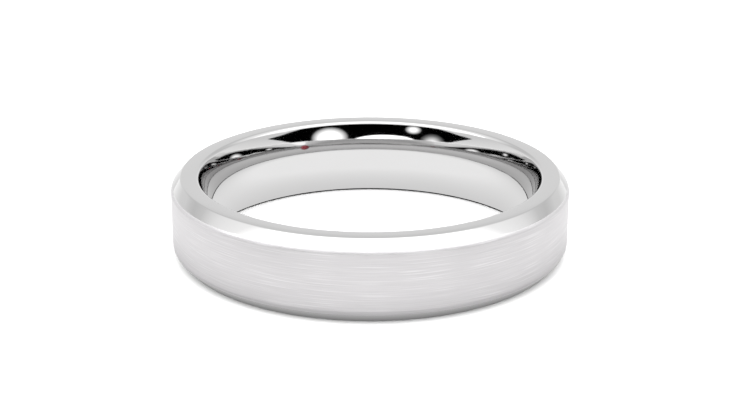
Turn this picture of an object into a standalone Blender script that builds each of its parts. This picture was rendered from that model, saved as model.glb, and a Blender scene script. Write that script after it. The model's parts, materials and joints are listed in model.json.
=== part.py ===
"""A wedding band with one small ruby set flush in the inside of its wall.

The band is turned in one piece: a straight outer face with a bevel along both edges, two flat rims,
and an inside that bulges towards the finger. The ruby sits in a blind seat drilled from the inside,
under a lip of metal, so its table lies just below the surface that touches the finger.

Metres. +Z runs along the finger hole, +X passes through the ruby, and the origin is the centre of
the finger hole in the plane of the lower rim.
"""

import math

import bmesh
import bpy
from mathutils import Vector

# The band's cross-section
BAND_WIDTH = 0.0040
OUTER_RADIUS = 0.00988
BEVEL_HEIGHT = 0.00055
BEVEL_DEPTH = 0.00050
RIM_WIDTH = 0.00085
INNER_BULGE = 0.00034

# The ruby: a round brilliant, with angles from the girdle's plane
RUBY_RADIUS = 0.00075
TABLE_RADIUS = 0.57 * RUBY_RADIUS
GIRDLE_THICKNESS = 0.06 * RUBY_RADIUS
CROWN_SLOPE = math.radians(34.5)
STAR_SLOPE = math.radians(21.5)
UPPER_GIRDLE_SLOPE = math.radians(41.0)
PAVILION_SLOPE = math.radians(40.75)
LOWER_GIRDLE_SLOPE = math.radians(41.9)
MAIN_FACETS = 8

# Its seat in the band's wall
TABLE_DEPTH = 0.00005
SEAT_GAP = 0.00002
LIP_OVERHANG = 0.00006
PILOT_RADIUS = 0.00025
PILOT_DEPTH = 0.00112
CLEARANCE = 0.0005

# How finely round shapes are divided
BAND_STEPS = 128
BULGE_STEPS = 12
SEAT_STEPS = 64
GIRDLE_SIDES = 64
MERGE_DISTANCE = 0.000001
FACET_TOLERANCE = 0.0000001
SHARP_ANGLE = math.radians(20)

# Worked out from the dimensions above
RIM_OUTER_RADIUS = OUTER_RADIUS - BEVEL_DEPTH
RIM_INNER_RADIUS = RIM_OUTER_RADIUS - RIM_WIDTH
BORE_RADIUS = RIM_INNER_RADIUS - INNER_BULGE
CROWN_HEIGHT = (RUBY_RADIUS - TABLE_RADIUS) * math.tan(CROWN_SLOPE)
PAVILION_HEIGHT = RUBY_RADIUS * math.tan(PAVILION_SLOPE)


def clear_scene():
    """Removes whatever the file holds."""
    for thing in list(bpy.data.objects):
        bpy.data.objects.remove(thing)


def new_collection(name):
    """Adds a collection to the scene."""
    made = bpy.data.collections.new(name)
    bpy.context.scene.collection.children.link(made)
    return made


def new_empty(name, collection, size):
    """Adds an empty that other objects hang from."""
    empty = bpy.data.objects.new(name, None)
    empty.empty_display_size = size
    collection.objects.link(empty)
    return empty


def white_gold():
    """The band's metal."""
    metal = bpy.data.materials.new("white_gold")
    metal.use_nodes = True
    shader = metal.node_tree.nodes["Principled BSDF"]
    shader.inputs["Base Color"].default_value = (0.80, 0.79, 0.80, 1.0)
    shader.inputs["Metallic"].default_value = 1.0
    shader.inputs["Roughness"].default_value = 0.22
    return metal


def ruby_red():
    """The stone's clear red."""
    stone = bpy.data.materials.new("ruby_red")
    stone.use_nodes = True
    shader = stone.node_tree.nodes["Principled BSDF"]
    shader.inputs["Base Color"].default_value = (0.42, 0.004, 0.03, 1.0)
    shader.inputs["Metallic"].default_value = 0.0
    shader.inputs["Roughness"].default_value = 0.03
    shader.inputs["IOR"].default_value = 1.77
    return stone


def turned(name, outline, closed, steps, collection):
    """An object turned about its own Z axis from (radius, height) points, outer side top to bottom."""
    mesh = bpy.data.meshes.new(name)
    profile = bmesh.new()
    points = [profile.verts.new((radius, 0.0, height)) for radius, height in outline]
    for upper, lower in zip(points, points[1:]):
        profile.edges.new((upper, lower))
    if closed:
        profile.edges.new((points[-1], points[0]))
    profile.to_mesh(mesh)
    profile.free()
    made = bpy.data.objects.new(name, mesh)
    collection.objects.link(made)
    screw = made.modifiers.new("turn", "SCREW")
    screw.axis = "Z"
    screw.angle = math.tau
    screw.steps = steps
    screw.render_steps = steps
    screw.use_merge_vertices = True
    screw.merge_threshold = MERGE_DISTANCE
    return made


def apply_and_smooth(thing):
    """Applies an object's modifiers and shades it smooth between its sharp edges."""
    evaluated = thing.evaluated_get(bpy.context.evaluated_depsgraph_get())
    mesh = bpy.data.meshes.new_from_object(evaluated)
    mesh.shade_smooth()
    mesh.set_sharp_from_angle(angle=SHARP_ANGLE)
    thing.modifiers.clear()
    thing.data = mesh


def inner_bulge():
    """The inside's arc, from the lower rim up to the upper one, without its two end points."""
    half_width = BAND_WIDTH / 2
    arc_radius = (half_width**2 + INNER_BULGE**2) / (2 * INNER_BULGE)
    half_angle = math.asin(half_width / arc_radius)
    centre = BORE_RADIUS + arc_radius
    points = []
    for step in range(1, BULGE_STEPS):
        angle = half_angle * (2 * step / BULGE_STEPS - 1)
        radius = centre - arc_radius * math.cos(angle)
        points.append((radius, half_width + arc_radius * math.sin(angle)))
    return points


def band_outline():
    """The band's cross-section: down the bevels and the outer face, then up the inside."""
    outer_side = [
        (RIM_INNER_RADIUS, BAND_WIDTH),
        (RIM_OUTER_RADIUS, BAND_WIDTH),
        (OUTER_RADIUS, BAND_WIDTH - BEVEL_HEIGHT),
        (OUTER_RADIUS, BEVEL_HEIGHT),
        (RIM_OUTER_RADIUS, 0.0),
        (RIM_INNER_RADIUS, 0.0),
    ]
    return outer_side + inner_bulge()


def seat_outline():
    """The hole that is cut for the ruby, with the table's plane at height 0 and the mouth above it."""
    girdle_top = -CROWN_HEIGHT
    girdle_bottom = girdle_top - GIRDLE_THICKNESS
    mouth = RUBY_RADIUS - LIP_OVERHANG
    wall = RUBY_RADIUS + SEAT_GAP
    crown_gap = SEAT_GAP / math.cos(CROWN_SLOPE)
    pavilion_gap = SEAT_GAP / math.cos(PAVILION_SLOPE)
    lip = girdle_top + LIP_OVERHANG * math.tan(CROWN_SLOPE) + crown_gap
    below_lip = girdle_top - SEAT_GAP * math.tan(CROWN_SLOPE) + crown_gap
    bearing_top = girdle_bottom + SEAT_GAP * math.tan(PAVILION_SLOPE) - pavilion_gap
    bearing_drop = (RUBY_RADIUS - PILOT_RADIUS) * math.tan(PAVILION_SLOPE)
    bearing_end = girdle_bottom - bearing_drop - pavilion_gap
    return [
        (0.0, CLEARANCE),
        (mouth, CLEARANCE),
        (mouth, lip),
        (wall, below_lip),
        (wall, bearing_top),
        (PILOT_RADIUS, bearing_end),
        (PILOT_RADIUS, -PILOT_DEPTH + PILOT_RADIUS / 2),
        (0.0, -PILOT_DEPTH),
    ]


def cut_facets(stone, count, first_turn, slope, reach, height, side):
    """Grinds equal flat facets round the stone. side is 1 above the girdle and -1 below it."""
    for index in range(count):
        turn = math.tau * (index + first_turn) / count
        outward = Vector((math.cos(turn), math.sin(turn), 0.0))
        normal = outward * math.sin(slope) + Vector((0.0, 0.0, side * math.cos(slope)))
        point = outward * reach + Vector((0.0, 0.0, height))
        cut = bmesh.ops.bisect_plane(
            stone,
            geom=stone.verts[:] + stone.edges[:] + stone.faces[:],
            dist=FACET_TOLERANCE,
            plane_co=point,
            plane_no=normal,
            clear_outer=True,
        )
        rim = [item for item in cut["geom_cut"] if isinstance(item, bmesh.types.BMEdge)]
        bmesh.ops.contextual_create(stone, geom=rim)


def make_band(collection, metal):
    """The turned band, still without its seat."""
    band = turned("band", band_outline(), True, BAND_STEPS, collection)
    band.data.materials.append(metal)
    return band


def make_ruby(collection, red):
    """The brilliant, with its table's plane at height 0 and its point below."""
    girdle_top = -CROWN_HEIGHT
    girdle_bottom = girdle_top - GIRDLE_THICKNESS
    depth = CROWN_HEIGHT + GIRDLE_THICKNESS + PAVILION_HEIGHT
    half_turn = math.pi / MAIN_FACETS
    table_edge = TABLE_RADIUS * math.cos(half_turn)
    girdle_edge = RUBY_RADIUS * math.cos(half_turn / 2)
    stone = bmesh.new()
    bmesh.ops.create_cone(
        stone, segments=GIRDLE_SIDES, radius1=RUBY_RADIUS, radius2=RUBY_RADIUS, depth=depth, cap_ends=True
    )
    bmesh.ops.translate(stone, verts=stone.verts, vec=(0.0, 0.0, -depth / 2))
    cut_facets(stone, MAIN_FACETS, 0.0, CROWN_SLOPE, TABLE_RADIUS, 0.0, 1)
    cut_facets(stone, MAIN_FACETS, 0.5, STAR_SLOPE, table_edge, 0.0, 1)
    cut_facets(stone, 2 * MAIN_FACETS, 0.5, UPPER_GIRDLE_SLOPE, girdle_edge, girdle_top, 1)
    cut_facets(stone, MAIN_FACETS, 0.0, PAVILION_SLOPE, RUBY_RADIUS, girdle_bottom, -1)
    cut_facets(stone, 2 * MAIN_FACETS, 0.5, LOWER_GIRDLE_SLOPE, girdle_edge, girdle_bottom, -1)
    mesh = bpy.data.meshes.new("inner_ruby")
    stone.to_mesh(mesh)
    stone.free()
    ruby = bpy.data.objects.new("inner_ruby", mesh)
    ruby.data.materials.append(red)
    collection.objects.link(ruby)
    return ruby


def cut_seat(band, collection):
    """Cuts the ruby's seat out of the band and returns the cutter."""
    cutter = turned("ruby_seat_cutter", seat_outline(), False, SEAT_STEPS, collection)
    cutter.hide_render = True
    cutter.display_type = "WIRE"
    cut = band.modifiers.new("ruby_seat", "BOOLEAN")
    cut.operation = "DIFFERENCE"
    cut.solver = "EXACT"
    cut.object = cutter
    return cutter


def main():
    clear_scene()
    pieces = new_collection("wedding_band")
    cutters = new_collection("cutters")

    whole = new_empty("wedding_band_root", pieces, OUTER_RADIUS)
    setting = new_empty("ruby_setting", pieces, RUBY_RADIUS)
    setting.parent = whole
    setting.location = (BORE_RADIUS + TABLE_DEPTH, 0.0, BAND_WIDTH / 2)
    setting.rotation_euler = (0.0, -math.pi / 2, 0.0)

    band = make_band(pieces, white_gold())
    band.parent = whole
    ruby = make_ruby(pieces, ruby_red())
    ruby.parent = setting
    cutter = cut_seat(band, cutters)
    cutter.parent = setting
    bpy.context.view_layer.update()
    apply_and_smooth(band)


main()
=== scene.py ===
"""A white gold wedding band with a ruby set in its inner wall, on a pale floor in a small studio.

The band is brushed round its outer face and polished on its bevels, rims and inside. It is spun from
its cross-section, and the ruby's seat is drilled into it from the finger hole.
"""

import json
import math

import bmesh
import bpy
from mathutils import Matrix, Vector


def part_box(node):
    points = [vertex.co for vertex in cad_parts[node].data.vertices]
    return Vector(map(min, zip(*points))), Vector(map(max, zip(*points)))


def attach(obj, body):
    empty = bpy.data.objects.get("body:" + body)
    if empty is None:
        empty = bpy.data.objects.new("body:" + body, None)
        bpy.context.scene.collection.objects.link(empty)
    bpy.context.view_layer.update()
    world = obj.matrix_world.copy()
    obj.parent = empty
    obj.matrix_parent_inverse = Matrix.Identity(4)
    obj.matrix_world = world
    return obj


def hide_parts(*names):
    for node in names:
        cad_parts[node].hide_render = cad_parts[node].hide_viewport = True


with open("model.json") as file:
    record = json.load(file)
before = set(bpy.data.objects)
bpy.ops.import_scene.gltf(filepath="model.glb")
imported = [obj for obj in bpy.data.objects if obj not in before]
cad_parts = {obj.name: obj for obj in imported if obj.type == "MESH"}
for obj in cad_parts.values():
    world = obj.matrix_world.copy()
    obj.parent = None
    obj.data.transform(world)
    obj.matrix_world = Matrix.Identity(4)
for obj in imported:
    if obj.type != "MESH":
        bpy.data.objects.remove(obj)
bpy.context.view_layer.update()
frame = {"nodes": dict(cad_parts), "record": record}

BAND_LOW, BAND_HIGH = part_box("band")
RUBY_LOW, RUBY_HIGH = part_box("inner_ruby")
MOUNTS = {mount["name"]: mount for mount in frame["record"]["mounts"]}
MM = 0.001

# The band's cross-section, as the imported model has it
BAND_WIDTH = BAND_HIGH[2] - BAND_LOW[2]
OUTER_RADIUS = (BAND_HIGH[0] - BAND_LOW[0]) / 2
RIM_MIDDLE_RADIUS = -MOUNTS["lower_rim"]["pos_m"][1]
BEVEL_DEPTH = 0.50 * MM
BEVEL_HEIGHT = 0.55 * MM
RIM_OUTER_RADIUS = OUTER_RADIUS - BEVEL_DEPTH
RIM_INNER_RADIUS = 2 * RIM_MIDDLE_RADIUS - RIM_OUTER_RADIUS
INNER_BULGE = 0.34 * MM
BORE_RADIUS = RIM_INNER_RADIUS - INNER_BULGE

# Its rounded corners and its finish, with the angle in degrees below which faces shade as one
CREST_ROUNDING = 0.16 * MM
RIM_ROUNDING = 0.05 * MM
MOUTH_ROUNDING = 0.125 * MM
BRUSHED_SHARE_OF_CREST = 0.8
SMOOTH_BELOW = 28.0
ROUNDING_STEPS = 5
BULGE_STEPS = 44
TURN_STEPS = 384
TINY = 0.0005 * MM

# The ruby and its seat
RUBY_RADIUS = (RUBY_HIGH[1] - RUBY_LOW[1]) / 2
CROWN_HEIGHT = 0.2955 * RUBY_RADIUS
GIRDLE_THICKNESS = 0.06 * RUBY_RADIUS
SEAT_GAP = 0.02 * MM
LIP_OVERHANG = 0.06 * MM
PILOT_RADIUS = 0.25 * MM
PILOT_DEPTH = 1.12 * MM
SEAT_SIDES = 96

# The view and the studio, in degrees round the band from the camera and up from the floor
CAMERA_AZIMUTH = 20.4
CAMERA_ELEVATION = 19.94
CAMERA_DISTANCE = 7.601 * OUTER_RADIUS
CAMERA_LENS = 72.7
STUDIO_RADIUS = 60 * OUTER_RADIUS
WALL_RADIUS = 2 * STUDIO_RADIUS
FLOOR_RADIUS = 1.05 * WALL_RADIUS
DOME_RADIUS = 0.95 * WALL_RADIUS
ROUND_SIDES = 360
FLOOR_SIDES = 128
FLAG_TOP = ((0.0, 24.5), (30.0, 21.5), (45.0, 18.0), (66.0, 10.8), (77.0, 8.6))
FLAG_FOOT = ((0.0, 0.0), (52.0, 1.0), (58.0, 3.0), (66.0, 5.8), (77.0, 8.6))
MIDDLE = Vector((0.0, 0.0, BAND_WIDTH / 2))

# Light levels, and the reach of the canopy and the place and size of the strip lamp in canopy heights
BLACK, WHITE = (0.0, 0.0, 0.0, 1.0), (1.0, 1.0, 1.0, 1.0)
WALL_LEVEL = 1.01
HORIZON_LEVEL = 1.32
WALL_FADE = 0.17
FLOOR_LEVEL = 0.42
DOME_STRENGTH, DOME_BACK, DOME_LOW = 6.0, 0.7, 0.15
CANOPY_HEIGHT = 0.5 * STUDIO_RADIUS
LAMP_REACH = 0.95 * CANOPY_HEIGHT
STRIP_HEIGHT = 0.98 * CANOPY_HEIGHT
CANOPY_FRONT, CANOPY_BACK, CANOPY_SIDE = 1.9, 2.6, 3.6
CANOPY_STRENGTH = 1.9
STRIP_LEFT, STRIP_AHEAD, STRIP_LENGTH, STRIP_WIDTH = 1.1, 0.4, 4.8, 0.6
STRIP_STRENGTH = 2.9

# Each lamp's bearing, elevation, width and height in degrees, strength, and light from its edge inwards
LAMPS = {
    "round_lamp": (29.2, 5.0, 29.5, 26.0, 2.9, ((0.06, 0.0), (0.41, 0.62), (0.6, 1.0))),
    "small_lamp": (-31.4, 14.2, 12.8, 10.5, 2.5, ((0.05, 0.0), (0.21, 0.2), (0.8, 1.0))),
    "low_lamp": (-10.9, 0.0, 49.5, 15.8, 2.7, ((0.06, 1.0),)),
    "dim_lamp": (-45.5, 1.5, 21.0, 20.0, 1.8, ((0.05, 0.0), (0.3, 0.15), (0.55, 0.5), (0.85, 1.0))),
}

# The floor as the metal shows it, with painted shadow: a dark ring under the band for the contact shadow
# along its foot, and its light and painted shade by distance in band radii
MIRROR_FLOOR_LIFT = 0.02 * MM
SHADE_LIFT = 0.03 * MM
SHADE_INNER = RIM_INNER_RADIUS - 0.06 * MM
SHADE_OUTER = RIM_OUTER_RADIUS - 0.05 * MM
FLOOR_LEVELS = (
    (0.0, 1.39),
    (0.6, 1.39),
    (0.8608, 1.04),
    # Painted contact shadow from here out: black under the rim, then lighter with distance from the band
    (0.8616, 0.0),
    (0.949, 0.15),
    (0.958, 0.58),
    (1.03, 0.74),
    (1.16, 1.18),
    (1.5, 1.46),
    (2.2, 1.08),
    (10.0, 1.0),
)


def grey(level):
    return (level, level, level, 1.0)


def round_the_band(azimuth, elevation, distance):
    """The point at this bearing from the camera's side, height angle and distance from the band."""
    turn = math.radians(CAMERA_AZIMUTH + azimuth)
    rise = math.radians(elevation)
    away = Vector((math.sin(turn) * math.cos(rise), -math.cos(turn) * math.cos(rise), math.sin(rise)))
    return MIDDLE + away * distance


# ---------------------------------------------------------------- modelling


def deselect_all():
    if bpy.context.mode != "OBJECT":
        bpy.ops.object.mode_set(mode="OBJECT")
    bpy.ops.object.select_all(action="DESELECT")


def start(name):
    """Names the primitive that was just added and opens it for editing with nothing selected."""
    piece = bpy.context.object
    piece.name = name
    piece.data.name = name
    bpy.ops.object.transform_apply(location=True, rotation=True, scale=True)
    bpy.ops.object.mode_set(mode="EDIT")
    bpy.ops.mesh.select_all(action="DESELECT")
    return piece


def pick(piece, kind, wanted):
    """Selects the vertices, edges or faces whose place passes the test, and nothing else."""
    bpy.ops.mesh.select_all(action="DESELECT")
    bpy.ops.mesh.select_mode(type=kind)
    mesh = bmesh.from_edit_mesh(piece.data)
    if kind == "VERT":
        for vertex in mesh.verts:
            vertex.select_set(wanted(vertex.co))
    elif kind == "EDGE":
        for edge in mesh.edges:
            edge.select_set(all(wanted(vertex.co) for vertex in edge.verts))
    else:
        for face in mesh.faces:
            face.select_set(wanted(face.calc_center_median()))
    mesh.select_flush_mode()
    bmesh.update_edit_mesh(piece.data)


def near(value, target):
    return abs(value - target) < TINY


def wall_section():
    """The outline of the band's wall at +X: straight face, bevels, rims and the arc of the inside."""
    deselect_all()
    wall = OUTER_RADIUS - RIM_INNER_RADIUS
    middle = (OUTER_RADIUS + RIM_INNER_RADIUS) / 2
    bpy.ops.mesh.primitive_plane_add(
        size=1.0, location=(middle, 0.0, BAND_WIDTH / 2), rotation=(math.pi / 2, 0.0, 0.0)
    )
    bpy.context.object.scale = (wall, BAND_WIDTH, 1.0)
    band = start("white_gold_band")
    pick(band, "FACE", lambda place: True)
    bpy.ops.mesh.delete(type="ONLY_FACE")
    pick(band, "EDGE", lambda place: near(place.x, RIM_INNER_RADIUS))
    bpy.ops.mesh.delete(type="EDGE_FACE")

    pick(band, "VERT", lambda place: near(place.x, OUTER_RADIUS))
    bpy.ops.mesh.bevel(offset_type="OFFSET", offset=BEVEL_DEPTH, segments=1, affect="VERTICES")
    pick(band, "VERT", lambda place: near(place.x, OUTER_RADIUS))
    squeeze = (BAND_WIDTH - 2 * BEVEL_HEIGHT) / (BAND_WIDTH - 2 * BEVEL_DEPTH)
    bpy.ops.transform.resize(
        value=(1.0, 1.0, squeeze), center_override=(OUTER_RADIUS, 0.0, BAND_WIDTH / 2)
    )

    half_width = BAND_WIDTH / 2
    arc_radius = (half_width**2 + INNER_BULGE**2) / (2 * INNER_BULGE)
    arc_angle = 2 * math.asin(half_width / arc_radius)
    pick(band, "VERT", lambda place: near(place.x, RIM_INNER_RADIUS) and near(place.z, 0.0))
    bpy.ops.mesh.spin(
        steps=BULGE_STEPS,
        angle=arc_angle,
        center=(BORE_RADIUS + arc_radius, 0.0, half_width),
        axis=(0.0, -1.0, 0.0),
    )
    bpy.ops.mesh.select_all(action="SELECT")
    bpy.ops.mesh.remove_doubles(threshold=TINY)

    # Leaves room beside the mouth's corners for their rounding
    room = 1.2 * MOUTH_ROUNDING
    pick(
        band,
        "VERT",
        lambda place: place.x < RIM_INNER_RADIUS - TINY and abs(place.z - half_width) > half_width - room,
    )
    bpy.ops.mesh.dissolve_verts()
    return band


def round_corners(band):
    """Softens the corners of the wall section, most of all the crests between outer face and bevels."""
    corners = (
        (OUTER_RADIUS, CREST_ROUNDING),
        (RIM_OUTER_RADIUS, RIM_ROUNDING),
        (RIM_INNER_RADIUS, MOUTH_ROUNDING),
    )
    for radius, rounding in corners:
        pick(band, "VERT", lambda place, radius=radius: near(place.x, radius))
        bpy.ops.mesh.bevel(
            offset_type="OFFSET", offset=rounding, segments=ROUNDING_STEPS, affect="VERTICES"
        )


def spin_band(band):
    """Turns the wall section round the finger hole and closes it."""
    bpy.ops.mesh.select_all(action="SELECT")
    bpy.ops.mesh.spin(steps=TURN_STEPS, angle=math.tau, center=(0.0, 0.0, 0.0), axis=(0.0, 0.0, 1.0))
    bpy.ops.mesh.select_all(action="SELECT")
    bpy.ops.mesh.remove_doubles(threshold=TINY)
    bpy.ops.mesh.normals_make_consistent(inside=False)
    bpy.ops.object.mode_set(mode="OBJECT")


def seat_cutter():
    """The hole for the ruby along +X: mouth, lip, girdle wall, bearing cone and pilot hole."""
    deselect_all()
    table = RUBY_LOW[0]
    crown_slope = math.radians(34.5)
    pavilion_slope = math.radians(40.75)
    mouth_radius = RUBY_RADIUS - LIP_OVERHANG
    girdle_top = table + CROWN_HEIGHT
    girdle_bottom = girdle_top + GIRDLE_THICKNESS
    lip = girdle_top - LIP_OVERHANG * math.tan(crown_slope) - SEAT_GAP / math.cos(crown_slope)
    wall_radius = RUBY_RADIUS + SEAT_GAP
    below_lip = girdle_top + SEAT_GAP * math.tan(crown_slope) - SEAT_GAP / math.cos(crown_slope)
    bearing = girdle_bottom - SEAT_GAP * math.tan(pavilion_slope) + SEAT_GAP / math.cos(pavilion_slope)
    bearing_end = bearing + (wall_radius - PILOT_RADIUS) * math.tan(pavilion_slope)
    sections = (
        (below_lip, wall_radius),
        (bearing, wall_radius),
        (bearing_end, PILOT_RADIUS),
        (table + PILOT_DEPTH, PILOT_RADIUS),
    )
    mouth = table - MM
    bpy.ops.mesh.primitive_cylinder_add(
        vertices=SEAT_SIDES,
        radius=mouth_radius,
        depth=lip - mouth,
        location=((lip + mouth) / 2, 0.0, BAND_WIDTH / 2),
        rotation=(0.0, math.pi / 2, 0.0),
    )
    cutter = start("seat_cutter")
    end, radius = lip, mouth_radius
    for next_end, next_radius in sections:
        pick(cutter, "FACE", lambda place, end=end: near(place.x, end))
        bpy.ops.mesh.extrude_region_move(TRANSFORM_OT_translate={"value": (next_end - end, 0.0, 0.0)})
        grow = next_radius / radius
        bpy.ops.transform.resize(value=(1.0, grow, grow), center_override=(next_end, 0.0, BAND_WIDTH / 2))
        end, radius = next_end, next_radius
    bpy.ops.mesh.select_all(action="SELECT")
    bpy.ops.mesh.normals_make_consistent(inside=False)
    bpy.ops.object.mode_set(mode="OBJECT")
    return cutter


def drill_seat(band):
    """Cuts the ruby's seat out of the band."""
    cutter = seat_cutter()
    deselect_all()
    bpy.context.view_layer.objects.active = band
    band.select_set(True)
    cut = band.modifiers.new("seat", "BOOLEAN")
    cut.operation = "DIFFERENCE"
    cut.solver = "EXACT"
    cut.object = cutter
    bpy.ops.object.modifier_apply(modifier=cut.name)
    bpy.data.objects.remove(cutter)


def is_brushed(face):
    """Whether a face belongs to the outer face or to most of the crests at its two edges."""
    radius = math.hypot(face.center.x, face.center.y)
    brushed_rise = BRUSHED_SHARE_OF_CREST * math.atan2(BEVEL_DEPTH, BEVEL_HEIGHT)
    return radius > OUTER_RADIUS - CREST_ROUNDING and abs(face.normal.z) < math.sin(brushed_rise)


def make_band(brushed, polished):
    band = wall_section()
    round_corners(band)
    spin_band(band)
    drill_seat(band)
    band.data.materials.clear()
    band.data.materials.append(polished)
    band.data.materials.append(brushed)
    for face in band.data.polygons:
        face.material_index = 1 if is_brushed(face) else 0
    deselect_all()
    band.select_set(True)
    bpy.context.view_layer.objects.active = band
    bpy.ops.object.shade_smooth_by_angle(angle=math.radians(SMOOTH_BELOW))
    even = band.modifiers.new("even_normals", "WEIGHTED_NORMAL")
    even.keep_sharp = True
    even.weight = 100
    bpy.ops.object.modifier_apply(modifier=even.name)
    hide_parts("band")
    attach(band, "root")
    return band


# ---------------------------------------------------------------- materials


class Value:
    """A number that varies over a surface; arithmetic on it adds Math nodes."""

    def __init__(self, finish, socket):
        self.finish = finish
        self.socket = socket

    def math(self, operation, *numbers):
        return self.finish.node("ShaderNodeMath", {"operation": operation}, dict(enumerate(numbers)))

    def __add__(self, other):
        return self.math("ADD", self, other)

    def __radd__(self, other):
        return self.math("ADD", other, self)

    def __sub__(self, other):
        return self.math("SUBTRACT", self, other)

    def __rsub__(self, other):
        return self.math("SUBTRACT", other, self)

    def __mul__(self, other):
        return self.math("MULTIPLY", self, other)

    def __rmul__(self, other):
        return self.math("MULTIPLY", other, self)


class Finish:
    """A material under construction."""

    def __init__(self, name):
        self.material = bpy.data.materials.new(name)
        self.material.use_nodes = True
        self.tree = self.material.node_tree
        self.shader = self.tree.nodes["Principled BSDF"]

    def node(self, kind, settings=None, sockets=None, output=0):
        """Adds a node, makes its settings, then fills its sockets, and gives one of its outputs."""
        made = self.tree.nodes.new(kind)
        for name, setting in (settings or {}).items():
            if name == "stops":
                self.set_stops(made.color_ramp, setting)
            else:
                setattr(made, name, setting)
        for name, content in (sockets or {}).items():
            self.fill(made.inputs[name], content)
        return Value(self, made.outputs[output])

    def set_stops(self, ramp, stops):
        while len(ramp.elements) < len(stops):
            ramp.elements.new(1.0)
        for element, (position, level) in zip(ramp.elements, stops):
            element.position = position
            element.color = grey(level)

    def fill(self, socket, content):
        if isinstance(content, Value):
            self.tree.links.new(content.socket, socket)
        else:
            socket.default_value = content

    def set(self, **sockets):
        """Fills the shader's own sockets, written with _ for a space."""
        for name, content in sockets.items():
            self.fill(self.shader.inputs[name.replace("_", " ")], content)

    def glow(self, strength, **varying):
        """Makes it give an even white light, apart from the sockets that vary."""
        self.set(Base_Color=BLACK, Specular_IOR_Level=0.0)
        self.set(Emission_Color=WHITE, Emission_Strength=strength)
        self.set(**varying)
        return self.material

    def along(self, axis, unit):
        """How far a place lies along an axis, in the given unit."""
        coordinates = self.node("ShaderNodeTexCoord", output="Object")
        distance = self.node("ShaderNodeSeparateXYZ", {}, {"Vector": coordinates}, output=axis)
        return distance * (1 / unit)

    def place(self, along, across):
        """Object coordinates with so many pattern cells a metre round the band and across it."""
        coordinates = self.node("ShaderNodeTexCoord", output="Object")
        return self.node("ShaderNodeMapping", {}, {"Vector": coordinates, "Scale": (along, along, across)})

    def noise(self, place, detail=2.0, roughness=0.5):
        return self.node(
            "ShaderNodeTexNoise",
            {"noise_dimensions": "3D"},
            {"Vector": place, "Scale": 1.0, "Detail": detail, "Roughness": roughness},
        )

    def ramp(self, amount, *stops):
        return self.node("ShaderNodeValToRGB", {"stops": stops}, {"Fac": amount})

    def blend(self, amount, first, second):
        return self.node(
            "ShaderNodeMix",
            {"data_type": "RGBA"},
            {"Factor": amount, 6: first, 7: second},
            output=2,
        )

    def bump(self, height, strength, distance):
        return self.node(
            "ShaderNodeBump", {}, {"Strength": strength, "Distance": distance, "Height": height}
        )


def brushed_white_gold():
    """Satin metal with fine scratches that run round the band, and a painted highlight that makes it
    lighter at the crests.
    """
    finish = Finish("brushed_white_gold")
    fine = finish.noise(finish.place(420.0, 28000.0), detail=3.0, roughness=0.6)
    coarse = finish.noise(finish.place(260.0, 9500.0), detail=2.0)
    scratch = finish.noise(finish.place(430.0, 34000.0), detail=0.0)
    scratch = finish.ramp(scratch, (0.60, 0.0), (0.80, 1.0))
    grain = 0.8 * fine + 0.2 * coarse
    shade = finish.ramp(grain, (0.36, 0.0), (0.64, 1.0))
    dark = (0.545, 0.534, 0.542, 1.0)
    light = (0.605, 0.593, 0.602, 1.0)
    bright = (0.80, 0.79, 0.80, 1.0)
    colour = finish.blend(shade, dark, light)
    colour = finish.blend(0.5 * scratch, colour, bright)
    # Painted highlight: the colour is lighter along the crests at the top and bottom of the face, where
    # they catch the light
    upwards = finish.along("Z", BAND_WIDTH)
    crest_highlight = finish.ramp(upwards, (0.12, 1.0), (0.16, 0.0), (0.84, 0.0), (0.88, 1.0))
    colour = finish.blend(0.35 * crest_highlight, colour, bright)
    height = grain - 0.6 * scratch
    finish.set(
        Base_Color=colour,
        Metallic=1.0,
        Roughness=0.36 + 0.10 * fine,
        Normal=finish.bump(height, 0.35, 0.01 * MM),
    )
    return finish.material


def polished_white_gold():
    """Mirror polish with the faint hairlines that a polishing wheel leaves."""
    finish = Finish("polished_white_gold")
    haze = finish.noise(finish.place(300.0, 900.0), detail=2.0)
    hairline = finish.noise(finish.place(260.0, 21000.0), detail=1.0)
    hairline = finish.ramp(hairline, (0.60, 0.0), (0.75, 1.0))
    warm = (0.564, 0.561, 0.558, 1.0)
    cool = (0.579, 0.576, 0.579, 1.0)
    finish.set(
        Base_Color=finish.blend(haze, warm, cool),
        Metallic=1.0,
        Roughness=0.035 + 0.02 * haze + 0.02 * hairline,
        Normal=finish.bump(hairline, 0.04, 0.002 * MM),
    )
    return finish.material


def clear_ruby():
    """Clear deep red crystal with a slight silk in it."""
    finish = Finish("clear_ruby")
    silk = finish.noise(finish.place(2600.0, 2600.0), detail=3.0)
    finish.set(
        Base_Color=finish.blend(silk, (0.40, 0.010, 0.032, 1.0), (0.58, 0.018, 0.050, 1.0)),
        Roughness=0.015 + 0.02 * silk,
        IOR=1.77,
        Transmission_Weight=0.85,
    )
    return finish.material


# ---------------------------------------------------------------- studio


def matt(name, level):
    """A plain matt grey."""
    finish = Finish(name)
    finish.set(Base_Color=grey(level), Roughness=1.0, Specular_IOR_Level=0.0)
    return finish.material


def soft_glow(name, strength, stops):
    """The light of an oval lamp, which falls to nothing at its edge as the stops say."""
    finish = Finish(name)
    coordinates = finish.node("ShaderNodeTexCoord", output="Object")
    falloff = finish.node(
        "ShaderNodeTexGradient", {"gradient_type": "SPHERICAL"}, {"Vector": coordinates}
    )
    return finish.glow(strength, Alpha=finish.ramp(falloff, (0.0, 0.0), *stops))


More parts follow.
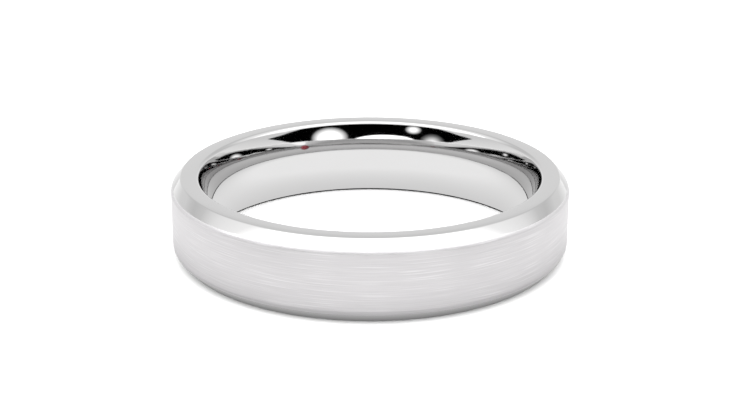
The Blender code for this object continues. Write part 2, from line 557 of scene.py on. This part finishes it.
def canopy_glow():
    """The light of the overhead canopy, which fades towards the back of the studio."""
    finish = Finish("canopy_glow")
    length = CANOPY_FRONT + CANOPY_BACK
    backwards = 0.5 + finish.along("Y", length * CANOPY_HEIGHT)
    levels = (
        (-CANOPY_FRONT, 1.6),
        (-1.2, CANOPY_STRENGTH),
        (-0.8, CANOPY_STRENGTH),
        (-0.1, CANOPY_STRENGTH),
        (0.04, 1.5),
        (0.5, 1.29),
        (1.0, 0.93),
        (1.5, 0.84),
        (CANOPY_BACK, WALL_LEVEL),
    )
    stops = [((CANOPY_FRONT + back) / length, level / CANOPY_STRENGTH) for back, level in levels]
    return finish.glow(CANOPY_STRENGTH, Emission_Color=finish.ramp(backwards, *stops))


def lay_floor():
    deselect_all()
    bpy.ops.mesh.primitive_circle_add(vertices=FLOOR_SIDES, radius=FLOOR_RADIUS, fill_type="NGON")
    floor = bpy.context.object
    floor.name = "studio_floor"
    floor.data.materials.append(matt("pale_floor", FLOOR_LEVEL))


def hang_card(card, name, material):
    """Names a card and makes it show in the metal and the stone alone."""
    card.name = name
    card.data.materials.append(material)
    card.visible_camera = False
    card.visible_diffuse = False
    card.visible_shadow = False


def wall_glow():
    """The backdrop's light, brightest where it meets the floor."""
    finish = Finish("wall_glow")
    upwards = finish.along("Z", WALL_RADIUS)
    fading = finish.ramp(upwards, (0.0, 1.0), (WALL_FADE, WALL_LEVEL / HORIZON_LEVEL))
    return finish.glow(HORIZON_LEVEL, Emission_Color=fading)


def stand_wall():
    """A round backdrop at the edge of the floor."""
    deselect_all()
    bpy.ops.mesh.primitive_cylinder_add(
        vertices=ROUND_SIDES, radius=WALL_RADIUS, depth=WALL_RADIUS, end_fill_type="NOTHING"
    )
    wall = bpy.context.object
    wall.location.z = WALL_RADIUS / 2
    bpy.ops.object.transform_apply(location=True, rotation=False, scale=False)
    wall.name = "studio_wall"
    wall.data.materials.append(wall_glow())


def dome_glow():
    """Light that is strongest from above and from the camera's side."""
    finish = Finish("dome_glow")
    backwards = 0.5 + finish.along("Y", 2 * DOME_RADIUS)
    upwards = finish.along("Z", DOME_RADIUS)
    from_the_front = finish.ramp(backwards, (0.35, 1.0), (0.65, DOME_BACK))
    from_above = finish.ramp(upwards, (0.0, DOME_LOW), (0.55, 1.0))
    return finish.glow(DOME_STRENGTH, Emission_Color=from_the_front * from_above)


def floor_dome():
    """A dome of soft light for the floor, which the metal and the stone don't mirror."""
    deselect_all()
    bpy.ops.mesh.primitive_uv_sphere_add(segments=64, ring_count=32, radius=DOME_RADIUS)
    dome = bpy.context.object
    dome.name = "floor_dome"
    dome.rotation_euler.z = math.radians(CAMERA_AZIMUTH)
    dome.data.materials.append(dome_glow())
    dome.visible_camera = False
    dome.visible_glossy = False
    dome.visible_transmission = False


def hang_lamp(name, azimuth, elevation, width, height, strength, stops):
    """A flat oval lamp that faces the band, with its place and size as angles in degrees."""
    deselect_all()
    place = round_the_band(azimuth, elevation, LAMP_REACH)
    bpy.ops.mesh.primitive_circle_add(vertices=64, radius=1.0, fill_type="NGON", location=place)
    lamp = bpy.context.object
    lamp.rotation_mode = "QUATERNION"
    lamp.rotation_quaternion = (place - MIDDLE).to_track_quat("Z", "Y")
    half_width = LAMP_REACH * math.tan(math.radians(width / 2))
    half_height = LAMP_REACH * math.tan(math.radians(height / 2))
    lamp.scale = (half_width, half_height, 1.0)
    hang_card(lamp, name, soft_glow(name + "_glow", strength, stops))


def level_at(bearing, outline):
    """The height angle of an outline of (bearing, elevation) points at this bearing."""
    for (first, low), (last, high) in zip(outline, outline[1:]):
        if bearing <= last:
            return low + (high - low) * (bearing - first) / (last - first)
    return outline[-1][1]


def black_flag():
    """A curved black screen on the camera's side that narrows to a point at both ends."""
    deselect_all()
    bpy.ops.mesh.primitive_cylinder_add(
        vertices=ROUND_SIDES, radius=STUDIO_RADIUS, depth=1.0, end_fill_type="NOTHING"
    )
    flag = bpy.context.object
    bpy.ops.object.mode_set(mode="EDIT")
    mesh = bmesh.from_edit_mesh(flag.data)
    front = round_the_band(0.0, 0.0, 1.0) - MIDDLE
    for vertex in list(mesh.verts):
        flat = Vector((vertex.co.x, vertex.co.y, 0.0))
        bearing = math.degrees(flat.angle(front))
        if bearing > FLAG_TOP[-1][0]:
            mesh.verts.remove(vertex)
            continue
        outline = FLAG_TOP if vertex.co.z > 0 else FLAG_FOOT
        rise = math.radians(level_at(bearing, outline))
        vertex.co.z = MIDDLE.z + STUDIO_RADIUS * math.tan(rise)
    bmesh.update_edit_mesh(flag.data)
    bpy.ops.object.mode_set(mode="OBJECT")
    hang_card(flag, "black_flag", matt("black_velvet", 0.0))


def overhead_canopy():
    """A wide white canopy over the band, from well behind the camera to the back of the studio."""
    deselect_all()
    turn = math.radians(CAMERA_AZIMUTH)
    backwards = Vector((-math.sin(turn), math.cos(turn), 0.0))
    place = backwards * (CANOPY_BACK - CANOPY_FRONT) / 2 * CANOPY_HEIGHT
    place.z = CANOPY_HEIGHT
    bpy.ops.mesh.primitive_plane_add(size=1.0, location=place, rotation=(0.0, 0.0, turn))
    canopy = bpy.context.object
    length = CANOPY_FRONT + CANOPY_BACK
    canopy.scale = (2 * CANOPY_SIDE * CANOPY_HEIGHT, length * CANOPY_HEIGHT, 1.0)
    bpy.ops.object.transform_apply(location=False, rotation=False, scale=True)
    hang_card(canopy, "overhead_canopy", canopy_glow())


def strip_lamp():
    """A long lamp just under the canopy, ahead of the band and more to the camera's left."""
    deselect_all()
    turn = math.radians(CAMERA_AZIMUTH)
    forwards = Vector((math.sin(turn), -math.cos(turn), 0.0))
    leftwards = Vector((-math.cos(turn), -math.sin(turn), 0.0))
    place = (STRIP_LEFT * leftwards + STRIP_AHEAD * forwards) * CANOPY_HEIGHT
    place.z = STRIP_HEIGHT
    bpy.ops.mesh.primitive_plane_add(size=1.0, location=place, rotation=(0.0, 0.0, turn))
    strip = bpy.context.object
    strip.scale = (STRIP_LENGTH * CANOPY_HEIGHT, STRIP_WIDTH * CANOPY_HEIGHT, 1.0)
    hang_card(strip, "strip_lamp", Finish("strip_glow").glow(STRIP_STRENGTH))


def mirror_floor_glow():
    """The floor's light as the metal shows it, by distance from the middle of the band, with the contact
    shadow under and beside the band painted in as darker rings.
    """
    finish = Finish("mirror_floor_glow")
    coordinates = finish.node("ShaderNodeTexCoord", output="Object")
    distance = finish.node(
        "ShaderNodeVectorMath", {"operation": "LENGTH"}, {0: coordinates}, output="Value"
    )
    brightest = max(level for radius, level in FLOOR_LEVELS)
    reach = FLOOR_LEVELS[-1][0] * OUTER_RADIUS
    stops = [(radius * OUTER_RADIUS / reach, level / brightest) for radius, level in FLOOR_LEVELS]
    return finish.glow(brightest, Emission_Color=finish.ramp(distance * (1 / reach), *stops))


def mirror_floor():
    """A glowing disc just above the floor that only shows in the metal and the stone, with the floor's
    light and a painted contact shadow on it.
    """
    deselect_all()
    bpy.ops.mesh.primitive_circle_add(
        vertices=FLOOR_SIDES, radius=STUDIO_RADIUS, fill_type="NGON", location=(0.0, 0.0, MIRROR_FLOOR_LIFT)
    )
    hang_card(bpy.context.object, "mirror_floor", mirror_floor_glow())


def foot_shade():
    """A thin black ring under the band, a painted contact shadow, which the metal shows as the dark line
    along its foot.
    """
    deselect_all()
    bpy.ops.mesh.primitive_cylinder_add(
        vertices=ROUND_SIDES,
        radius=SHADE_INNER,
        depth=1.0,
        end_fill_type="NOTHING",
        location=(0.0, 0.0, 0.5),
    )
    shade = start("foot_shade")
    pick(shade, "VERT", lambda place: place.z > 0.5)
    grow = SHADE_OUTER / SHADE_INNER
    bpy.ops.transform.resize(value=(grow, grow, 0.0), center_override=(0.0, 0.0, 0.0))
    bpy.ops.object.mode_set(mode="OBJECT")
    shade.location.z = SHADE_LIFT
    hang_card(shade, "foot_shade", matt("painted_foot_shadow", 0.0))


def make_studio():
    world = bpy.data.worlds.new("studio_walls")
    world.use_nodes = True
    world.node_tree.nodes["Background"].inputs["Color"].default_value = grey(WALL_LEVEL)
    bpy.context.scene.world = world
    lay_floor()
    stand_wall()
    floor_dome()
    black_flag()
    overhead_canopy()
    strip_lamp()
    mirror_floor()
    foot_shade()
    for name, lamp in LAMPS.items():
        hang_lamp(name, *lamp)


def set_camera():
    data = bpy.data.cameras.new("studio_camera")
    data.lens = CAMERA_LENS
    data.sensor_width = 36.0
    data.clip_start = MM
    data.clip_end = 10 * STUDIO_RADIUS
    camera = bpy.data.objects.new("studio_camera", data)
    bpy.context.scene.collection.objects.link(camera)
    camera.location = round_the_band(0.0, CAMERA_ELEVATION, CAMERA_DISTANCE)
    camera.rotation_mode = "QUATERNION"
    camera.rotation_quaternion = (camera.location - MIDDLE).to_track_quat("Z", "Y")
    bpy.context.scene.camera = camera


band = make_band(brushed_white_gold(), polished_white_gold())
ruby = frame["nodes"]["inner_ruby"]
ruby_finish = clear_ruby()
for slot in ruby.material_slots:
    slot.material = ruby_finish

make_studio()
set_camera()
bpy.context.scene.view_settings.view_transform = "Standard"
